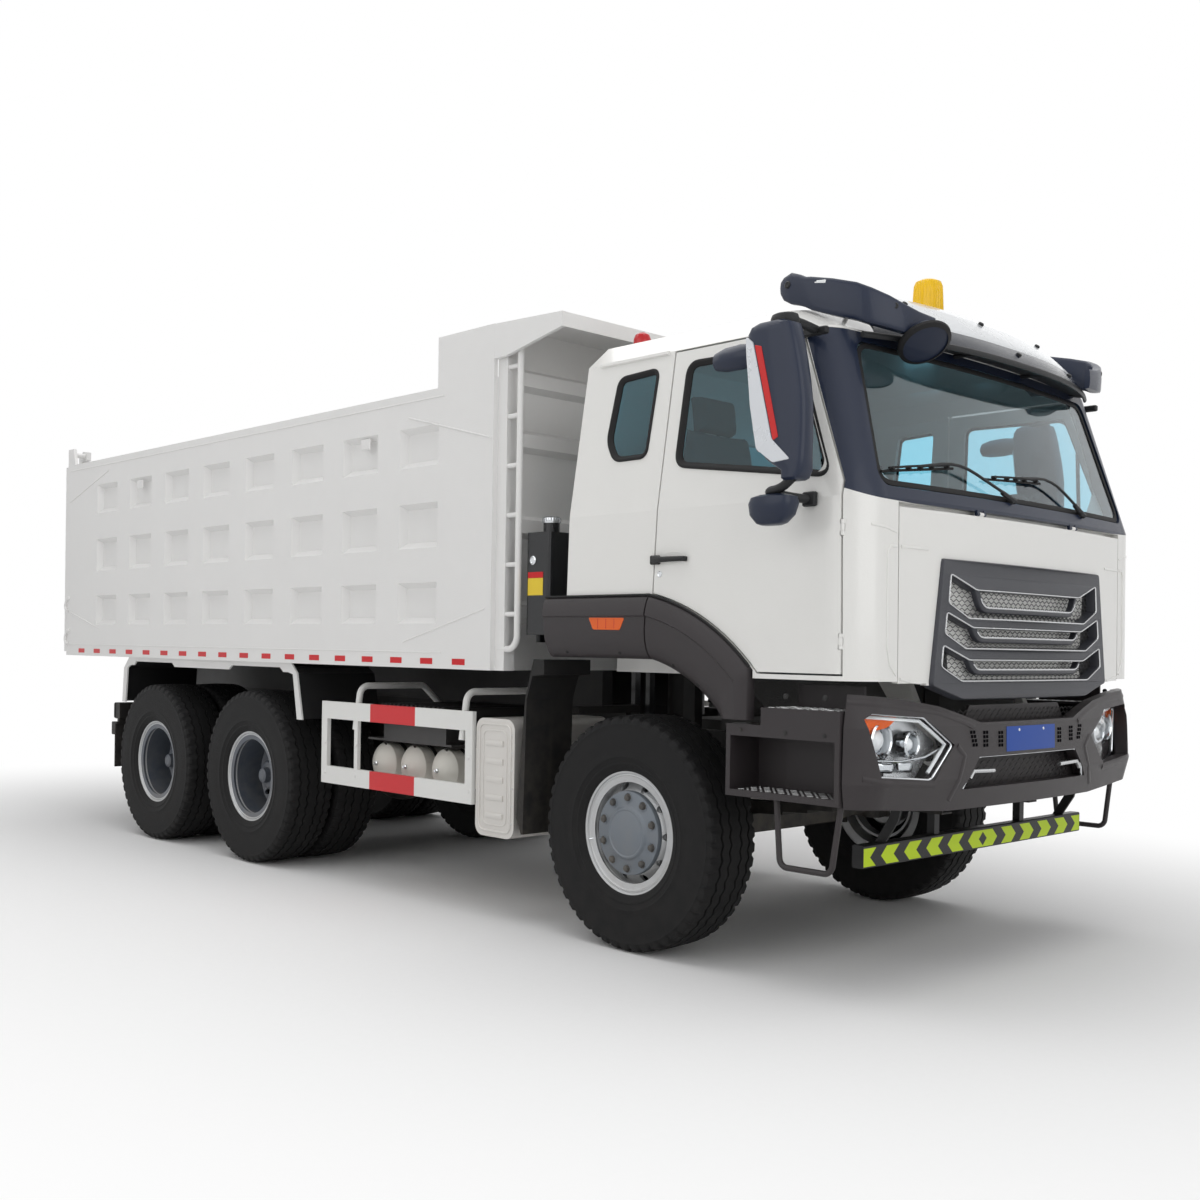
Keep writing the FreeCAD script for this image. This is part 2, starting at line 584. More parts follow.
def hoist_cradle():
    """Trunnion beam that carries the hoist foot between the rails."""
    beams = []
    for side, _ in SIDES:
        beams.append(box(HOIST_X - 60.0, HOIST_X + 60.0, side * 150.0, side * 180.0,
                         HOIST_FOOT_Z - 70.0, HOIST_FOOT_Z + 70.0))
    shelf = box(HOIST_X - CRADLE_HALF, HOIST_X + CRADLE_HALF, -RAIL_Y + RAIL_T, RAIL_Y - RAIL_T,
                HOIST_FOOT_Z - 190.0, HOIST_FOOT_Z - 170.0)
    posts = []
    for side, _ in SIDES:
        posts.append(box(HOIST_X - 60.0, HOIST_X + 60.0, side * 150.0, side * 180.0,
                         HOIST_FOOT_Z - 171.0, HOIST_FOOT_Z - 69.0))
    cradle = fused([shelf] + beams + posts)
    return cradle.cut(cross_rod(HOIST_X, HOIST_FOOT_Z, -200.0, 200.0, HOIST_PIN_R + RUN_FIT))


def engine():
    """Engine and gearbox as one heavy block, with the radiator ahead of it."""
    top = CAB_FOOT_Z - ENGINE_ROOM
    block = rounded(box(60.0, 1080.0, -330.0, 330.0, 760.0, top), 24.0, "y")
    bell = box(-160.0, 60.0, -300.0, 300.0, 740.0, 1180.0)
    gearbox = box(-570.0, -160.0, -200.0, 200.0, 730.0, 1060.0)
    radiator = box(1095.0, 1170.0, -335.0, 335.0, RAIL_TOP - RAIL_T, top - ENGINE_ROOM)
    whole = fused([block, bell, gearbox])
    return [whole, radiator]


def shafts():
    """Propeller shafts from the gearbox back to the two driven axles."""
    first = rod((-575.0, 0.0, 700.0), (FIRST_DRIVE_X + 335.0, 0.0, AXLE_Z + 60.0), 45.0)
    second = rod((FIRST_DRIVE_X - 222.0, 0.0, AXLE_Z + 30.0),
                 (SECOND_DRIVE_X + 335.0, 0.0, AXLE_Z + 60.0), 45.0)
    return [first, second]


# ---- front end on the frame ------------------------------------------------


def nose_plan(front, half, bow, corner, rear, z, inset):
    """Plan outline of the truck's nose: bowed front, round corners, open rear."""
    x_mid = front - inset
    x_edge = front - bow - inset
    y_side = half - inset
    radius = corner - inset * 0.5
    x_tan = x_edge - radius
    y_tan = y_side - radius
    quarter = math.sin(math.pi / 4.0)
    edges = [
        Part.LineSegment(vec(rear, -y_side, z), vec(x_tan, -y_side, z)).toShape(),
        Part.Arc(vec(x_tan, -y_side, z),
                 vec(x_tan + radius * quarter, -y_tan - radius * quarter, z),
                 vec(x_edge, -y_tan, z)).toShape(),
        Part.Arc(vec(x_edge, -y_tan, z), vec(x_mid, 0, z), vec(x_edge, y_tan, z)).toShape(),
        Part.Arc(vec(x_edge, y_tan, z),
                 vec(x_tan + radius * quarter, y_tan + radius * quarter, z),
                 vec(x_tan, y_side, z)).toShape(),
        Part.LineSegment(vec(x_tan, y_side, z), vec(rear, y_side, z)).toShape(),
        Part.LineSegment(vec(rear, y_side, z), vec(rear, -y_side, z)).toShape(),
    ]
    return Part.Wire(edges)


def bumper_solid(inset, z0, z1):
    low = nose_plan(BUMPER_FRONT - 26.0, BUMPER_HALF, 60.0, 190.0, 1100.0, z0, inset)
    mid = nose_plan(BUMPER_FRONT, BUMPER_HALF, 52.0, 180.0, 1100.0, 905.0, inset)
    high = nose_plan(BUMPER_FRONT - 6.0, BUMPER_HALF, 58.0, 180.0, 1100.0, 1130.0, inset)
    top = nose_plan(BUMPER_FRONT - 62.0, BUMPER_HALF - 4.0, 40.0, 170.0, 1100.0, z1, inset)
    return Part.makeLoft([low, mid, high, top], True, True)


def bumper():
    """Three-part looking bumper: lamp pockets, air intake, recessed upper mesh."""
    skin = 55.0
    outer = bumper_solid(0.0, 762.0, 1280.0)
    inner = bumper_solid(skin, 700.0, 1340.0)
    shell = outer.cut(inner).common(box(BUMPER_REAR, 1500.0, -1300.0, 1300.0, 700.0, 1400.0))
    crown = [(-1300.0, 1275.0), (-960.0, 1250.0), (-700.0, 1215.0), (-560.0, 1180.0),
             (-420.0, 1140.0), (420.0, 1140.0), (560.0, 1180.0), (700.0, 1215.0),
             (960.0, 1250.0), (1300.0, 1275.0), (1300.0, 1500.0), (-1300.0, 1500.0)]
    shell = shell.cut(front_prism(crown, 1000.0, 1600.0))
    belly = [(-1300.0, 600.0), (1300.0, 600.0), (1300.0, 806.0), (1100.0, 800.0),
             (640.0, 768.0), (-640.0, 768.0), (-1100.0, 800.0), (-1300.0, 806.0)]
    shell = shell.cut(front_prism(belly, 1000.0, 1600.0))
    intake = [(-560.0, 856.0), (560.0, 856.0), (436.0, 991.0), (-436.0, 991.0)]
    shell = shell.cut(front_prism(intake, 1000.0, 1600.0))
    for side, _ in SIDES:
        pocket = front_prism([(side * y, z) for y, z in LAMP_OUTLINE], 1000.0, 1600.0)
        shell = shell.cut(pocket)
    back = front_prism([(-600.0, 800.0), (600.0, 800.0), (480.0, 1100.0), (400.0, 1212.0),
                        (-400.0, 1212.0), (-480.0, 1100.0)], 1350.0, 1362.0)
    whole = fused([shell, back])
    bearers = []
    for side, _ in SIDES:
        bearers.append(box(FRAME_FRONT, 1351.0, side * 340.0, side * 420.0, 820.0, 900.0))
    return fused([whole] + bearers)


def headlamps():
    solids = []
    for side, _ in SIDES:
        slab = bumper_solid(10.0, 762.0, 1280.0).cut(bumper_solid(54.0, 700.0, 1340.0))
        outline = front_prism([(side * y, z) for y, z in LAMP_OUTLINE], 1150.0, 1600.0)
        solids.append(slab.common(outline))
    return solids


def step_well(side):
    """Moulded entry steps under the door, with the hanging hoop step."""
    skin = 12.0
    x0, x1 = 678.0, 1276.0
    x_tread = 868.0
    y0, y1 = 905.0, 1236.0
    y_recess = 1040.0
    z0, z_tread, z_band, z_lower = 812.0, 1198.0, 1072.0, 840.0
    outline = [(x0, z0), (x1, z0), (x1, z_tread), (x_tread, z_tread), (x_tread, 1122.0),
               (x0, 1122.0)]
    block = side_prism(outline, y0, y1)
    inside = [(x0 + skin, z0 + skin), (x1 - skin, z0 + skin), (x1 - skin, z_tread - skin),
              (x_tread + skin, z_tread - skin), (x_tread + skin, 1122.0 - skin),
              (x0 + skin, 1122.0 - skin)]
    recess = box(x0 + 2.0 * skin, x1 - 2.0 * skin, y_recess, y1 + 20.0, z_lower, z_band)
    tray = box(x0 + skin, x1 - skin, y_recess - skin, y1, z_lower - skin, z_band + skin)
    cavity = side_prism(inside, y0 - 10.0, y1 - skin).cut(tray)
    body = block.cut(cavity).cut(recess)
    wall = box(x_tread + 57.0, x1 - skin, y_recess, y_recess + skin, z_tread - 1.0, 1296.0)
    hoop = bent_tube([(x_tread + 60.0, y1 - 40.0, z0 + 14.0), (x_tread + 92.0, y1 - 30.0, 532.0),
                      (x1 - 52.0, y1 - 30.0, 532.0), (x1 - 14.0, y1 - 40.0, z0 + 14.0)],
                     42.0, 13.0)
    bracket = box(x_tread + 120.0, x_tread + 180.0, RAIL_Y, y0 + 2.0, 1085.0, 1125.0)
    hanger = box(x_tread + 120.0, x_tread + 180.0, RAIL_Y, RAIL_Y + 14.0, 960.0, 1090.0)
    rib = box(x_tread + 120.0, x_tread + 180.0, y0, y1 - skin, 1085.0, z_tread - skin + 1.0)
    return on_side(fused([body, wall, hoop, bracket, hanger, rib]), side)


def guard_bar():
    """Under-run bar ahead of the front axle on two hangers."""
    bar = rounded(box(1150.0, 1207.0, -960.0, 960.0, 527.0, 625.0), 8.0, "y")
    hangers = []
    for side, _ in SIDES:
        hangers.append(box(1158.0, 1196.0, side * 360.0, side * 400.0, 620.0, 721.0))
        hangers.append(side_prism([(1150.0, 624.0), (1200.0, 624.0), (1262.0, 720.0),
                                   (1290.0, 822.0), (1250.0, 822.0), (1215.0, 730.0)],
                                  side * 780.0, side * 792.0))
        hangers.append(box(1250.0, 1290.0, side * 420.0, side * 792.0, 800.0, 822.0))
    return fused([bar] + hangers)


# ---- cab -------------------------------------------------------------------
def cab_solid(inset, z_floor, front_extra):
    """Closed outer form of the cab, drawn in by inset on every side."""
    drop = inset * 0.9
    levels = (
        (z_floor, CAB_REAR, CAB_FRONT - 6.0, CAB_HALF - 4.0, 56.0, 180.0),
        (CAB_BELT_Z, CAB_REAR + 28.0, CAB_FRONT - 12.0, CAB_HALF, 58.0, 180.0),
        (CAB_EAVES_Z - drop * 0.4, CAB_REAR + 84.0, 1195.0, CAB_HALF - 62.0, 62.0, 170.0),
        (CAB_TOP_Z - 48.0 - drop * 0.8, CAB_REAR + 128.0, 1040.0, CAB_HALF - 150.0, 66.0, 160.0),
        (CAB_TOP_Z - drop, CAB_REAR + 230.0, 860.0, CAB_HALF - 310.0, 70.0, 150.0),
    )
    wires = []
    for index, (z, rear, front, half, bow, corner) in enumerate(levels):
        extra = front_extra if index < 2 else 0.0
        wires.append(nose_plan(front - extra, half, bow, corner, rear + inset, z, inset))
    return Part.makeLoft(wires, True, True)


def arch_outline(radius_out, radius_in, flat_out, flat_in, rear, front, tip):
    """Wheel-arch band in side view: flat behind, round ahead of the axle."""
    points = [(rear, flat_in), (rear, flat_out)]
    start = math.asin(min(1.0, (flat_out - AXLE_Z) / radius_out))
    end = math.acos(min(1.0, front / radius_out))
    for index in range(13):
        angle = start + (end - start) * index / 12.0
        points.append((radius_out * math.cos(angle), AXLE_Z + radius_out * math.sin(angle)))
    points.append((front, tip))
    start = math.asin((tip - AXLE_Z) / radius_in)
    end = math.asin(min(1.0, (flat_in - AXLE_Z) / radius_in))
    for index in range(13):
        angle = start + (end - start) * index / 12.0
        points.append((radius_in * math.cos(angle), AXLE_Z + radius_in * math.sin(angle)))
    return points


def arch_space(extra):
    """Everything under the outer edge of the wheel arch, for cutting bodywork."""
    points = [(CAB_REAR - 300.0, 1000.0), (CAB_REAR - 300.0, ARCH_TOP_FLAT + extra)]
    radius = ARCH_OUT_R + extra
    start = math.asin((ARCH_TOP_FLAT + extra - AXLE_Z) / radius)
    end = math.acos((ARCH_FRONT_X + 12.0) / radius)
    for index in range(13):
        angle = start + (end - start) * index / 12.0
        points.append((radius * math.cos(angle), AXLE_Z + radius * math.sin(angle)))
    points.append((ARCH_FRONT_X + 12.0, 1000.0))
    return points


def door_outline(gap):
    """Door edge in side view, opened outwards by gap."""
    radius = ARCH_OUT_R + 14.0 - gap
    low = SILL_Z - gap
    rear_low = 225.0 - gap
    start = math.asin((low - AXLE_Z) / radius)
    end = math.acos(rear_low / radius)
    points = [(1262.0 + gap, low)]
    for index in range(13):
        angle = start + (end - start) * index / 12.0
        points.append((radius * math.cos(angle), AXLE_Z + radius * math.sin(angle)))
    points += [(292.0 - gap, 2790.0 + gap), (1000.0 + gap, 2790.0 + gap),
               (1252.0 + gap, 2130.0)]
    return points


def upright(side, z0, z1, radius):
    """Cylinder on a door's hinge axis."""
    x, y = DOOR_PIVOT
    return rod((x, side * y, z0), (x, side * y, z1), radius)


def add_door_hinges(shell, leaf, side):
    """Two hinges: the door carries the barrel, the cab the lugs and the pin."""
    x, y = DOOR_PIVOT
    room = DOOR_BARREL_R + 2.0
    for zc in DOOR_HINGE_ZS:
        low = zc - DOOR_BARREL_HALF
        high = zc + DOOR_BARREL_HALF
        barrel = upright(side, low, high, DOOR_BARREL_R)
        shell = shell.cut(upright(side, low - 1.0, high + 1.0, room))
        lugs = []
        for start in (low - 1.0 - DOOR_LUG_LEN, high + 1.0):
            end = start + DOOR_LUG_LEN
            leaf = leaf.cut(upright(side, start - 1.0, end + 1.0, room))
            lugs.append(upright(side, start, end, DOOR_BARREL_R))
            lugs.append(box(x + 3.0, x + 16.0, side * (y - 14.0), side * (y - 4.0), start, end))
        lugs.append(upright(side, low - 2.0, high + 2.0, DOOR_PIN_R))
        leaf = leaf.fuse(barrel).cut(upright(side, low - 1.0, high + 1.0, DOOR_PIN_R + RUN_FIT))
        shell = shell.fuse(lugs)
    return shell.removeSplitter(), leaf.removeSplitter()


def cab_parts():
    """Shell, screen surround, doors and glass, all cut from one outer form."""
    outer = cab_solid(0.0, CAB_FOOT_Z, 0.0)
    cavity = cab_solid(CAB_WALL, CAB_FLOOR_Z + 45.0, 70.0)
    shell = outer.cut(cavity)
    over = box(CAB_REAR - 50.0, 700.0, -ARCH_INNER_Y + 12.0, ARCH_INNER_Y - 12.0,
               CAB_FOOT_Z - 10.0, CAB_FLOOR_Z)
    shell = shell.cut(over)
    for side, _ in SIDES:
        shell = shell.cut(side_prism(arch_space(0.5), side * ARCH_INNER_Y, side * 1400.0))
        lip = side_prism(arch_space(30.0), side * (ARCH_INNER_Y - 12.0), side * (CAB_HALF - 62.0))
        lip = lip.cut(side_prism(arch_space(0.5), side * ARCH_INNER_Y, side * 1400.0))
        lip = lip.common(box(CAB_REAR + 20.0, 1200.0, -1300.0, 1300.0,
                             CAB_FLOOR_Z + 2.0, 2000.0))
        shell = shell.fuse(lip)
    shell = shell.removeSplitter()

    skin = outer.cut(cab_solid(CAB_WALL - 4.0, CAB_FOOT_Z - 1.0, 0.0))
    glass_band = cab_solid(12.0, CAB_FOOT_Z - 1.0, 0.0).cut(cab_solid(18.0, CAB_FOOT_Z - 2.0, 0.0))
    parts = {}
    glass = []
    for side, name in SIDES:
        opening = side_prism(door_outline(DOOR_GAP), side * 1000.0, side * 1400.0)
        shell = shell.cut(opening)
        leaf = skin.common(side_prism(door_outline(0.0), side * 1000.0, side * 1400.0))
        window = rounded(side_prism(DOOR_WINDOW, side * 1000.0, side * 1400.0), 45.0, "y")
        parts["door_" + name] = leaf.cut(window)
        parts["door_glass_" + name] = glass_band.common(window)
        quarter = rounded(side_prism(REAR_WINDOW, side * 1000.0, side * 1400.0), 30.0, "y")
        shell = shell.cut(quarter)
        glass.append(glass_band.common(quarter))
    screen = rounded(front_prism(SCREEN_OUTLINE, 900.0, 1700.0), 60.0, "x")
    back = rounded(front_prism(BACK_WINDOW, -500.0, -200.0), 50.0, "x")
    shell = shell.cut(back)
    rear_band = glass_band.common(back)
    glass.append(rear_band)
    region = side_prism(SURROUND_OUTLINE, -1300.0, 1300.0)
    surround = shell.common(region).cut(screen)
    glass.append(glass_band.common(screen).common(region))
    shell = shell.cut(region)
    surround = fused([surround] + lid_lugs())

    flap_cut = front_prism([(-FLAP_HALF - FLAP_GAP, FLAP_LOW - 200.0),
                            (FLAP_HALF + FLAP_GAP, FLAP_LOW - 200.0),
                            (FLAP_HALF + FLAP_GAP, FLAP_HIGH + FLAP_TOP_GAP),
                            (-FLAP_HALF - FLAP_GAP, FLAP_HIGH + FLAP_TOP_GAP)],
                           1200.0, 1700.0)
    pocket = cab_solid(-30.0, CAB_FOOT_Z - 150.0, 0.0)
    pocket = pocket.cut(cab_solid(FLAP_POCKET, CAB_FOOT_Z - 200.0, 0.0)).common(flap_cut)
    shell = shell.cut(pocket)
    for side, name in SIDES:
        shell, parts["door_" + name] = add_door_hinges(shell, parts["door_" + name], side)
    parts["shell"] = shell
    parts["surround"] = surround
    parts["glass"] = glass
    return parts


def grille_openings():
    """Three wide openings, each with ends that rise outwards."""
    cuts = []
    for low, high, half in ((1590.0, 1735.0, 600.0), (1460.0, 1572.0, 625.0),
                            (1320.0, 1432.0, 650.0)):
        cuts.append(front_prism([(-half + 170.0, low), (half - 170.0, low), (half, low + 66.0),
                                 (half - 12.0, high + 40.0), (half - 190.0, high - 22.0),
                                 (-half + 190.0, high - 22.0), (-half + 12.0, high + 40.0),
                                 (-half, low + 66.0)], 1200.0, 1700.0))
    return cuts


def lid_lugs():
    """Fixed hinge lugs and pins of the front lid, under the screen surround."""
    pieces = []
    for y in LID_HINGE_YS:
        for start in (y - 37.0, y + 17.0):
            pieces.append(cross_rod(LID_HINGE_X, LID_HINGE_Z, start, start + 20.0, 8.0))
            pieces.append(box(LID_HINGE_X - 8.0, LID_HINGE_X + 6.0, start, start + 20.0,
                              LID_HINGE_Z, COWL_LOW + 6.0))
        pieces.append(cross_rod(LID_HINGE_X, LID_HINGE_Z, y - 30.0, y + 30.0, LID_PIN_R))
    return pieces


def lid_barrels():
    """Hinge barrels on the top edge of the front lid."""
    pieces = []
    for y in LID_HINGE_YS:
        barrel = cross_rod(LID_HINGE_X, LID_HINGE_Z, y - 16.0, y + 16.0, 9.4)
        foot = box(LID_HINGE_X - 14.0, LID_HINGE_X + 2.0, y - 16.0, y + 16.0,
                   FLAP_HIGH - 4.0, LID_HINGE_Z - 1.0)
        pieces.append(fused([barrel, foot]).cut(
            cross_rod(LID_HINGE_X, LID_HINGE_Z, y - 20.0, y + 20.0, LID_PIN_R + RUN_FIT)))
    return pieces


def flap_parts():
    """Front flap: painted upper panel, and the grille frame below it."""
    low = FLAP_LOW - 40.0
    region = front_prism([(-FLAP_HALF, 1312.0), (-800.0, 1312.0), (-800.0, FLAP_LOW),
                          (800.0, FLAP_LOW), (800.0, 1312.0), (FLAP_HALF, 1312.0),
                          (FLAP_HALF, FLAP_HIGH), (-FLAP_HALF, FLAP_HIGH)], 1200.0, 1700.0)
    band = cab_solid(0.0, low, 0.0).cut(cab_solid(FLAP_T, low - 1.0, 0.0)).common(region)
    outline = front_prism(GRILLE_OUTLINE, 1200.0, 1700.0)
    below = front_prism([(-900.0, 1100.0), (-900.0, 1303.0), (-784.0, 1303.0), (-560.0, FLAP_LOW),
                         (560.0, FLAP_LOW), (784.0, 1303.0), (900.0, 1303.0), (900.0, 1100.0)],
                        1200.0, 1700.0)
    panel = fused([band.cut(outline).cut(below)] + lid_barrels())
    frame_band = cab_solid(-14.0, low, 0.0).cut(cab_solid(FLAP_T - 6.0, low - 1.0, 0.0))
    grille = frame_band.common(outline).cut(grille_openings())
    mesh = cab_solid(FLAP_T - 6.5, low, 0.0).cut(cab_solid(FLAP_T, low - 1.0, 0.0)).common(outline)
    return panel, fused([grille, mesh])


def cab_underside():
    """Tilt arms and rear cab mounts under the floor."""
    solids = []
    for side, _ in SIDES:
        y0 = RAIL_Y + 28.0
        y1 = RAIL_Y + 66.0
        arm = side_prism([(TILT_X - 36.0, TILT_Z - 20.0), (TILT_X + 20.0, TILT_Z - 34.0),
                          (TILT_X + 34.0, TILT_Z + 10.0), (TILT_X - 130.0, CAB_FOOT_Z + 20.0),
                          (TILT_X - 300.0, CAB_FOOT_Z + 20.0)], side * y0, side * y1)
        boss = cross_rod(TILT_X, TILT_Z, side * y0, side * y1, 40.0)
        bore = cross_rod(TILT_X, TILT_Z, side * (y0 - 5.0), side * (y1 + 5.0), 22.0 + RUN_FIT)
        solids.append(fused([arm, boss]).cut(bore))
    return solids


def arches():
    """Wheel-arch bands with their inner mudguards, in front and rear pieces."""
    solids = []
    band = arch_outline(ARCH_OUT_R, ARCH_IN_R, ARCH_TOP_FLAT, ARCH_FLAT_Z,
                        ARCH_REAR_X, ARCH_FRONT_X, ARCH_TIP_Z)
    sheet = arch_outline(ARCH_IN_R + 10.0, ARCH_IN_R, ARCH_FLAT_Z + 10.0, ARCH_FLAT_Z,
                         ARCH_REAR_X, 625.0, ARCH_TIP_Z)
    upper = arch_outline(ARCH_OUT_R, ARCH_OUT_R - 10.0, ARCH_TOP_FLAT, ARCH_TOP_FLAT - 10.0,
                         ARCH_REAR_X, ARCH_FRONT_X, 1360.0)
    for side, _ in SIDES:
        outer = side_prism(band, side * (HALF_WIDTH - 16.0), side * HALF_WIDTH)
        inner = side_prism(sheet, side * (ARCH_INNER_Y + 4.0), side * HALF_WIDTH)
        cap = side_prism(upper, side * (CAB_HALF - 60.0), side * HALF_WIDTH)
        whole = fused([outer, inner, cap])
        solids.append(whole)
    return solids


def sun_visor():
    """Roof visor: bowed blade over the screen, side wings and look-down mirror."""
    lip_z, top_z = 2806.0, 3052.0

    def level(z, front, half, inset):
        return nose_plan(front, half, 130.0, 190.0, 700.0, z, inset)

    outer = Part.makeLoft([level(lip_z, 1285.0, 1080.0, 0.0), level(2900.0, 1245.0, 1075.0, 0.0),
                           level(top_z, 1065.0, 1040.0, 0.0)], True, True)
    inner = Part.makeLoft([level(lip_z - 20.0, 1285.0, 1080.0, 14.0),
                           level(2900.0, 1245.0, 1075.0, 14.0),
                           level(top_z + 20.0, 1042.0, 1036.0, 14.0)], True, True)
    blade = outer.cut(inner)
    keep = side_prism([(900.0, 2925.0), (1010.0, 2790.0), (1500.0, 2790.0), (1500.0, 3100.0),
                       (900.0, 3100.0)], -1300.0, 1300.0)
    blade = blade.common(keep)
    pieces = [blade]
    for side, _ in SIDES:
        wing = side_prism([(860.0, 2990.0), (905.0, 3045.0), (960.0, 3020.0), (1010.0, 3060.0),
                           (1090.0, 3040.0), (1130.0, 2900.0), (980.0, 2925.0), (890.0, 2960.0)],
                          side * 1010.0, side * 1042.0)
        pieces.append(wing)
    for y in (-700.0, 0.0, 700.0):
        pieces.append(box(880.0, 1078.0, y - 20.0, y + 20.0, 2912.0, 2962.0))
    visor = fused(pieces)
    visor = visor.cut(cab_solid(-0.0, CAB_FOOT_Z, 0.0))
    mirror = look_down_mirror()
    return fused([visor, mirror])


def look_down_mirror():
    """Round kerb-view mirror on a short arm at the front right of the roof."""
    centre = vec(1335.0, -760.0, 2745.0)
    dish = Part.makeSphere(110.0, vec(0, 0, 0))
    matrix = FreeCAD.Matrix()
    matrix.scale(0.62, 1.0, 0.42)
    dish = dish.transformGeometry(matrix)
    dish.rotate(vec(0, 0, 0), vec(0, 1, 0), 12.0)
    dish.translate(centre)
    arm = rod((1160.0, -760.0, 2856.0), (1318.0, -760.0, 2762.0), 12.0)
    return fused([dish, arm])


def cab_lamps():
    """Beacon on its post, roof end markers and arch side markers."""
    solids = []
    post = rod((930.0, -110.0, 2935.0), (930.0, -110.0, 3082.0), 30.0)
    base = rod((930.0, -110.0, 3080.0), (930.0, -110.0, 3104.0), 78.0)
    dome = Part.makeCone(74.0, 66.0, 116.0, vec(930.0, -110.0, 3103.0), vec(0, 0, 1))
    solids.append(fused([post, base, dome]).cut(cab_solid(0.0, CAB_FOOT_Z, 0.0)))
    for side, _ in SIDES:
        lamp = Part.makeSphere(34.0, vec(-170.0, side * 930.0, 2938.0))
        solids.append(lamp.cut(cab_solid(0.0, CAB_FOOT_Z, 0.0)))
        marker = box(-125.0, 10.0, side * (HALF_WIDTH), side * (HALF_WIDTH + 12.0),
                     1532.0, 1580.0)
        solids.append(rounded(marker, 10.0, "y"))
    return solids


def mirror_set(side):
    """Main mirror, wide-angle mirror and kerb mirror; the left set lies folded back along its door."""
    back, inward = (FOLD_BACK, FOLD_IN) if side > 0 else (0.0, 0.0)
    shift = vec(-back, -inward, 0)
    y0, y1 = 1395.0, 1500.0
    head = side_prism([(1020.0, 2770.0), (1180.0, 2782.0), (1215.0, 2740.0), (1262.0, 2240.0),
                       (1235.0, 2150.0), (1080.0, 2185.0)], y0, y1)
    head = rounded(head, 26.0, "y")
    root_y = CAB_HALF - 66.0
    top_foot = box(925.0, 1150.0, root_y, root_y + 26.0, 2742.0, 2774.0)
    pads = [box(925.0, 1000.0, root_y, root_y + 24.0, 2742.0, 2774.0),
            box(1085.0, 1150.0, CAB_HALF - 10.0, CAB_HALF + 16.0, 2030.0, 2090.0)]
    pads = [pad.cut(cab_solid(0.0, CAB_FOOT_Z, 0.0)) for pad in pads]
    knee = box(1100.0, 1140.0, 1410.0, 1440.0, 2740.0, 2782.0)
    pod = box(1060.0, 1170.0, 1352.0, 1462.0, 1985.0, 2066.0)
    pod = rounded(pod, 20.0, "z")
    wide = side_prism([(880.0, 2640.0), (1030.0, 2690.0), (1060.0, 2640.0), (1050.0, 2600.0),
                       (900.0, 2596.0)], 1405.0, 1490.0)
    low_foot = box(1085.0, 1150.0, CAB_HALF - 10.0, CAB_HALF + 24.0, 2030.0, 2090.0)
    wide_arm = rod((1010.0, 1450.0, 2650.0), (1060.0, 1450.0, 2660.0), 12.0)
    moved = [head, knee, pod, wide, wide_arm]
    for part in moved:
        part.translate(shift)
    if back:
        top_arm = bent_tube([(960.0, root_y + 16.0, 2760.0), (930.0, 1290.0, 2764.0),
                             (1120.0 - back, 1425.0 - inward, 2766.0)], 24.0, 15.0)
        low_arm = bent_tube([(1170.0 - back, 1450.0 - inward, 2180.0),
                             (1140.0 - back, 1430.0 - inward, 2082.0), (1120.0, CAB_HALF + 36.0, 2060.0)], 24.0, 18.0)
    else:
        top_arm = box(1090.0, 1150.0, root_y + 24.0, 1440.0, 2752.0, 2782.0)
        low_arm = bent_tube([(1200.0, 1460.0, 2180.0), (1170.0, 1440.0, 2082.0),
                             (1120.0, 1240.0, 2060.0)], 24.0, 18.0)
    whole = fused(moved + [top_arm, top_foot, low_arm, low_foot])
    whole = whole.cut(cab_solid(-DOOR_GAP, CAB_FOOT_Z, 0.0))
    return on_side(fused([whole] + pads), side)


def interior():
    """Seats, dashboard, steering column and wheel, and the bunk behind."""
    solids = []
    floor = CAB_FLOOR_Z + 45.0
    for side, _ in SIDES:
        base = rounded(box(60.0, 560.0, side * 330.0, side * 860.0, floor, floor + 420.0), 30.0, "x")
        back = side_prism([(60.0, floor + 415.0), (200.0, floor + 415.0), (60.0, floor + 1120.0),
                           (-60.0, floor + 1120.0)], side * 360.0, side * 830.0)
        solids.append(fused([base, back]))
    dash = side_prism([(1080.0, floor + 330.0), (1000.0, floor + 560.0), (1080.0, floor + 640.0),
                       (1270.0, floor + 620.0), (1270.0, floor + 200.0)], -1120.0, 1120.0)
    column = rod((880.0, 560.0, floor + 640.0), (1120.0, 560.0, floor + 300.0), 34.0)
    wheel = Part.makeTorus(225.0, 17.0, vec(0, 0, 0), vec(0, 0, 1))
    spoke = box(-225.0, 225.0, -20.0, 20.0, -10.0, 10.0)
    hub = rod((0, 0, -30.0), (0, 0, 20.0), 55.0)
    wheel = fused([wheel, spoke, hub])
    wheel.rotate(vec(0, 0, 0), vec(0, 1, 0), -35.0)
    wheel.translate(vec(868.0, 560.0, floor + 656.0))
    solids.append(fused([dash, column, wheel]))
    bunk = box(CAB_REAR + CAB_WALL + 30.0, -120.0, -1100.0, 1100.0, floor + 260.0, floor + 420.0)
    solids.append(bunk)
    return solids


# ---- side equipment --------------------------------------------------------
def fuel_tank():
    tank = rounded(box(-2420.0, -1160.0, 520.0, 1110.0, 500.0, 1060.0), 70.0, "x")
    straps = []
    for x in (-2200.0, -1380.0):
        strap = rounded(box(x, x + 60.0, 514.0, 1116.0, 494.0, 1066.0), 74.0, "x")
        straps.append(strap)
        straps.append(box(x, x + 60.0, RAIL_Y, 560.0, 560.0, 960.0))
    cap = rod((-1300.0, 960.0, 1050.0), (-1300.0, 960.0, 1096.0), 52.0)
    return fused([tank, cap] + straps)


